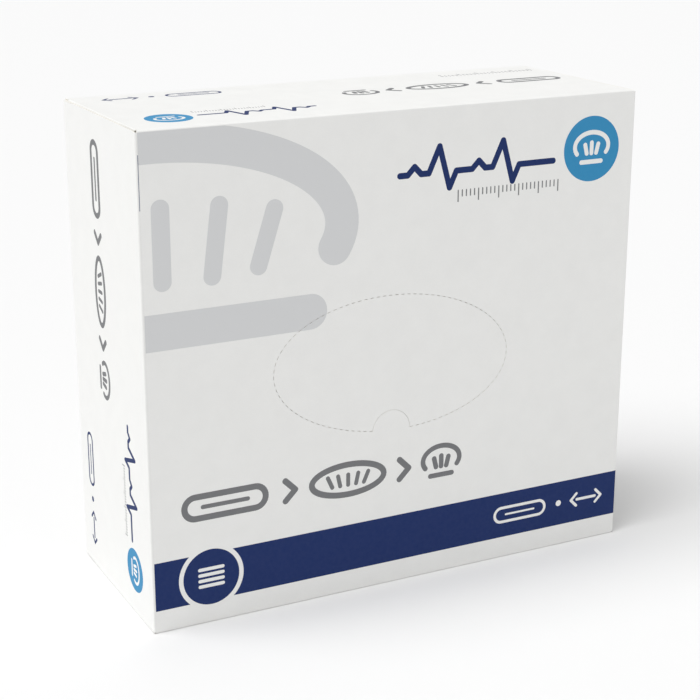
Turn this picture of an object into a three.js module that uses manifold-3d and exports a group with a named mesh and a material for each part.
// Dispenser carton for folded disposable caps: one blank of coated board, folded into a sleeve
// and closed at both ends, with a perforated oval in the front panel that tears out for the hand.
// Millimetres, +Z up. The origin is the centre of the base, the front panel looks along -Y and
// the ends look along -X and +X.
import * as THREE from 'three';
import { mergeVertices } from 'three/addons/utils/BufferGeometryUtils.js';
import Module from 'manifold-3d';

const wasm = await Module();
wasm.setup();

// Driving dimensions.
const WIDTH = 254;               // end to end, along X
const DEPTH = 98;                // front to back, along Y
const HEIGHT = 231;              // base to top, along Z
const BOARD = 0.6;               // thickness of the folding board
const GAP = 0.3;                 // air between neighbouring pieces
const FOLD_RADIUS = 0.7;         // outside radius of a creased fold
const OVERRUN = 1;               // how far a cutting shape runs past what it cuts
const GLUE_FLAP_HEIGHT = 16;     // of the flap glued inside the back panel's lower edge
const TEAR_OUT = {               // the perforated oval, seen from the front
  x: -3.9, z: 112.1,             // centre
  halfLength: 61.75, halfHeight: 33.1,
  tilt: THREE.MathUtils.degToRad(-3),
};
const THUMB_TAB = { x: -5.1, z: 79, radius: 10 };   // half disc inside the oval's lower edge
const OUTER_FLAP = { shortBy: 0.5, taperLength: 20, taperDepth: 0.7 };   // shortBy: of the back
const INNER_FLAP = { shortBy: 2.5, taperLength: 20, taperDepth: 3 };     // shortBy: of the front
const DUST_FLAP = {
  length: 70,
  rootInset: 3.5,                // from the front and back panels' outer sides to its crease
  shoulder: 4, tipInset: 6,      // it is straight down to the shoulder, then narrows to its tip
  cornerRadius: 9,
};
const ARC_STEPS = { fold: 3, corner: 4, thumb: 12, oval: 48 };   // two facets to each step

// Where the layers of an end lie, from the outside in: outer flap, inner flap, dust flaps.
const LAYER = BOARD + GAP;
const outerFlapX = WIDTH / 2;
const innerFlapX = outerFlapX - LAYER;
const dustFlapX = innerFlapX - LAYER;

const whiteBoard = { color: 0xdcdcdc, roughness: 0.5, metalness: 0 };
const printedBoard = { color: 0xd6d7d8, roughness: 0.45, metalness: 0 };
const innerBoard = { color: 0xcfcbc2, roughness: 0.8, metalness: 0 };

// Extrudes a flat shape along an axis of the carton. A shape for X is drawn in Y and Z, one for
// Y in X and Z, and one for Z in X and Y.
function extrudeAlong(axis, shape, from, to, curveSegments) {
  const geometry = new THREE.ExtrudeGeometry(shape, {
    depth: to - from, curveSegments, bevelEnabled: false,
  });
  if (axis === 'x') {
    return geometry.rotateZ(Math.PI / 2).rotateY(Math.PI / 2).translate(from, 0, 0);
  }
  if (axis === 'y') {
    return geometry.rotateX(Math.PI / 2).translate(0, to, 0);
  }
  return geometry.translate(0, 0, from);
}

function toManifold(geometry) {
  geometry.deleteAttribute('normal');
  geometry.deleteAttribute('uv');
  const merged = mergeVertices(geometry);
  return new wasm.Manifold(new wasm.Mesh({
    numProp: 3,
    vertProperties: new Float32Array(merged.attributes.position.array),
    triVerts: new Uint32Array(merged.index.array),
  }));
}

function toGeometry(manifold) {
  const { vertProperties, triVerts } = manifold.getMesh();
  const geometry = new THREE.BufferGeometry();
  geometry.setAttribute('position', new THREE.BufferAttribute(vertProperties, 3));
  geometry.setIndex(new THREE.BufferAttribute(triVerts, 1));
  return geometry;
}

function toMesh(name, manifold, finish) {
  const mesh = new THREE.Mesh(toGeometry(manifold), new THREE.MeshStandardMaterial(finish));
  mesh.name = name;
  return mesh;
}

function box(sizeX, sizeY, sizeZ, x, y, z) {
  return toManifold(new THREE.BoxGeometry(sizeX, sizeY, sizeZ).translate(x, y, z));
}

// Section of a folded strip of board. The points are the sharp corners of its outer side, in an
// order that turns right at each one, so the inside of the carton is on the right.
function foldedStrip(points) {
  const path = points.map(([u, v]) => new THREE.Vector2(u, v));
  const heading = path.slice(1).map((point, i) => point.clone().sub(path[i]).normalize());
  const inward = heading.map((way) => new THREE.Vector2(way.y, -way.x));
  const last = path.length - 1;
  const folds = path.slice(1, last).map((corner, i) => ({
    centre: corner.clone().addScaledVector(heading[i], -FOLD_RADIUS)
      .addScaledVector(inward[i], FOLD_RADIUS),
    start: inward[i].clone().negate().angle(),
  }));
  const innerStart = path[0].clone().addScaledVector(inward[0], BOARD);
  const innerEnd = path[last].clone().addScaledVector(inward[last - 1], BOARD);
  const quarter = Math.PI / 2;

  const section = new THREE.Shape();
  section.moveTo(innerStart.x, innerStart.y);
  section.lineTo(path[0].x, path[0].y);
  for (const { centre, start } of folds) {
    section.absarc(centre.x, centre.y, FOLD_RADIUS, start, start - quarter, true);
  }
  section.lineTo(path[last].x, path[last].y);
  section.lineTo(innerEnd.x, innerEnd.y);
  for (const { centre, start } of folds.reverse()) {
    section.absarc(centre.x, centre.y, FOLD_RADIUS - BOARD, start - quarter, start, false);
  }
  section.closePath();
  return section;
}

// The oval of the tear-out in the front panel's plane, grown by a margin all round.
function ovalShape(margin) {
  const oval = new THREE.Shape();
  oval.absellipse(TEAR_OUT.x, TEAR_OUT.z, TEAR_OUT.halfLength + margin,
    TEAR_OUT.halfHeight + margin, 0, 2 * Math.PI, false, TEAR_OUT.tilt);
  return oval;
}

function thumbShape(margin) {
  const disc = new THREE.Shape();
  disc.absarc(THUMB_TAB.x, THUMB_TAB.z, THUMB_TAB.radius + margin, 0, 2 * Math.PI, false);
  return disc;
}

// Cuts a prism of the oval less the thumb tab. The tab stays on the sleeve as a push-in tongue.
function tearOutPrism(margin, from, to) {
  const oval = toManifold(extrudeAlong('y', ovalShape(margin), from, to, ARC_STEPS.oval));
  const thumb = toManifold(
    extrudeAlong('y', thumbShape(-margin), from - OVERRUN, to + OVERRUN, ARC_STEPS.thumb));
  return oval.subtract(thumb);
}

// The sleeve starts at the glue flap's free edge, runs round bottom, front, top and back, and
// ends at the back panel's raw edge, outside the glue flap.
function cartonSleeve() {
  const glueFlapY = DEPTH / 2 - LAYER;
  const section = foldedStrip([
    [glueFlapY, GLUE_FLAP_HEIGHT],
    [glueFlapY, 0],
    [-DEPTH / 2, 0],
    [-DEPTH / 2, HEIGHT],
    [DEPTH / 2, HEIGHT],
    [DEPTH / 2, GAP],
  ]);
  const frontHalf = outerFlapX - FOLD_RADIUS - GAP;
  const backHalf = innerFlapX - FOLD_RADIUS - GAP;
  const topHalf = dustFlapX - FOLD_RADIUS - GAP;
  let sleeve = toManifold(extrudeAlong('x', section, -frontHalf, frontHalf, ARC_STEPS.fold));

  // Each panel ends where the crease of its own flap starts, so the back panel is cut shorter
  // than the front one, and the top, bottom and glue flap are shorter still.
  const frontFoldY = -DEPTH / 2 + FOLD_RADIUS;
  const backPanelY = DEPTH / 2 - BOARD - GAP / 2;
  for (const side of [-1, 1]) {
    for (const [half, toY] of [[backHalf, DEPTH], [topHalf, backPanelY]]) {
      const cutX = WIDTH - half;
      sleeve = sleeve.subtract(box(cutX, toY - frontFoldY, 2 * HEIGHT,
        side * (half + cutX / 2), (toY + frontFoldY) / 2, HEIGHT / 2));
    }
  }
  return sleeve.subtract(tearOutPrism(GAP / 2, -DEPTH, 0));
}

function tearOutPanel() {
  return tearOutPrism(-GAP / 2, -DEPTH / 2, -DEPTH / 2 + BOARD);
}

// A flap's outline in Y and Z: a plate from a hinge line to a free edge whose corners taper off.
function taperedPlate(hingeY, freeY, halfHeight, { taperLength, taperDepth }) {
  const taperY = freeY - Math.sign(freeY - hingeY) * taperLength;
  return new THREE.Shape([
    new THREE.Vector2(hingeY, -halfHeight),
    new THREE.Vector2(taperY, -halfHeight),
    new THREE.Vector2(freeY, -halfHeight + taperDepth),
    new THREE.Vector2(freeY, halfHeight - taperDepth),
    new THREE.Vector2(taperY, halfHeight),
    new THREE.Vector2(hingeY, halfHeight),
  ]);
}

// Bends a strip along one axis and trims it to an outline drawn in Y and Z.
function trimmedFlap(axis, corners, halfRun, outline) {
  const strip = toManifold(
    extrudeAlong(axis, foldedStrip(corners), -halfRun, halfRun, ARC_STEPS.fold));
  return strip.intersect(toManifold(extrudeAlong('x', outline, 0, WIDTH, ARC_STEPS.corner)));
}

// The flaps of the right end, drawn about the carton's middle height.
function outerFlap() {
  const freeY = DEPTH / 2 - OUTER_FLAP.shortBy;
  const halfHeight = HEIGHT / 2 - GAP;
  return trimmedFlap('z', [
    [outerFlapX, freeY],
    [outerFlapX, -DEPTH / 2],
    [outerFlapX - FOLD_RADIUS, -DEPTH / 2],
  ], halfHeight, taperedPlate(-DEPTH / 2 - OVERRUN, freeY, halfHeight, OUTER_FLAP));
}

function innerFlap() {
  const freeY = -DEPTH / 2 + INNER_FLAP.shortBy;
  const halfHeight = HEIGHT / 2 - 2 * GAP;
  return trimmedFlap('z', [
    [innerFlapX - FOLD_RADIUS, DEPTH / 2],
    [innerFlapX, DEPTH / 2],
    [innerFlapX, freeY],
  ], halfHeight, taperedPlate(DEPTH / 2 + OVERRUN, freeY, halfHeight, INNER_FLAP));
}

// A dust flap narrows from its crease to a free edge with round corners.
function dustFlapOutline() {
  const { length, rootInset, shoulder, tipInset, cornerRadius } = DUST_FLAP;
  const halfRoot = DEPTH / 2 - rootInset;
  const halfTip = halfRoot - tipInset;
  const shoulderZ = HEIGHT / 2 - shoulder;
  const tipZ = HEIGHT / 2 - length;
  const outline = new THREE.Shape();
  outline.moveTo(halfRoot, HEIGHT / 2 + OVERRUN);
  outline.lineTo(-halfRoot, HEIGHT / 2 + OVERRUN);
  outline.lineTo(-halfRoot, shoulderZ);
  outline.lineTo(-halfTip, tipZ + cornerRadius);
  outline.quadraticCurveTo(-halfTip, tipZ, -halfTip + cornerRadius, tipZ);
  outline.lineTo(halfTip - cornerRadius, tipZ);
  outline.quadraticCurveTo(halfTip, tipZ, halfTip, tipZ + cornerRadius);
  outline.lineTo(halfRoot, shoulderZ);
  return outline;
}

function dustFlap() {
  return trimmedFlap('y', [
    [dustFlapX - FOLD_RADIUS, HEIGHT / 2],
    [dustFlapX, HEIGHT / 2],
    [dustFlapX, HEIGHT / 2 - DUST_FLAP.length],
  ], DEPTH / 2, dustFlapOutline());
}

// One closed end, looking along +X. The left end is the same closure turned half round about Y,
// which keeps the outer flap on the front panel and swaps the two dust flaps.
function endClosure(side) {
  const end = new THREE.Group();
  const turned = side === 'left';
  const upper = toMesh(`${side}_dust_flap_${turned ? 'bottom' : 'top'}`, dustFlap(), innerBoard);
  const lower = toMesh(`${side}_dust_flap_${turned ? 'top' : 'bottom'}`, dustFlap(), innerBoard);
  lower.rotation.x = Math.PI;
  end.add(
    toMesh(`${side}_outer_flap`, outerFlap(), whiteBoard),
    toMesh(`${side}_inner_flap`, innerFlap(), innerBoard),
    upper,
    lower,
  );
  end.position.z = HEIGHT / 2;
  end.rotation.y = turned ? Math.PI : 0;
  return end;
}

const carton = new THREE.Group();
carton.add(
  toMesh('carton_sleeve', cartonSleeve(), whiteBoard),
  toMesh('tear_out_panel', tearOutPanel(), printedBoard),
  endClosure('left'),
  endClosure('right'),
);

export default carton;
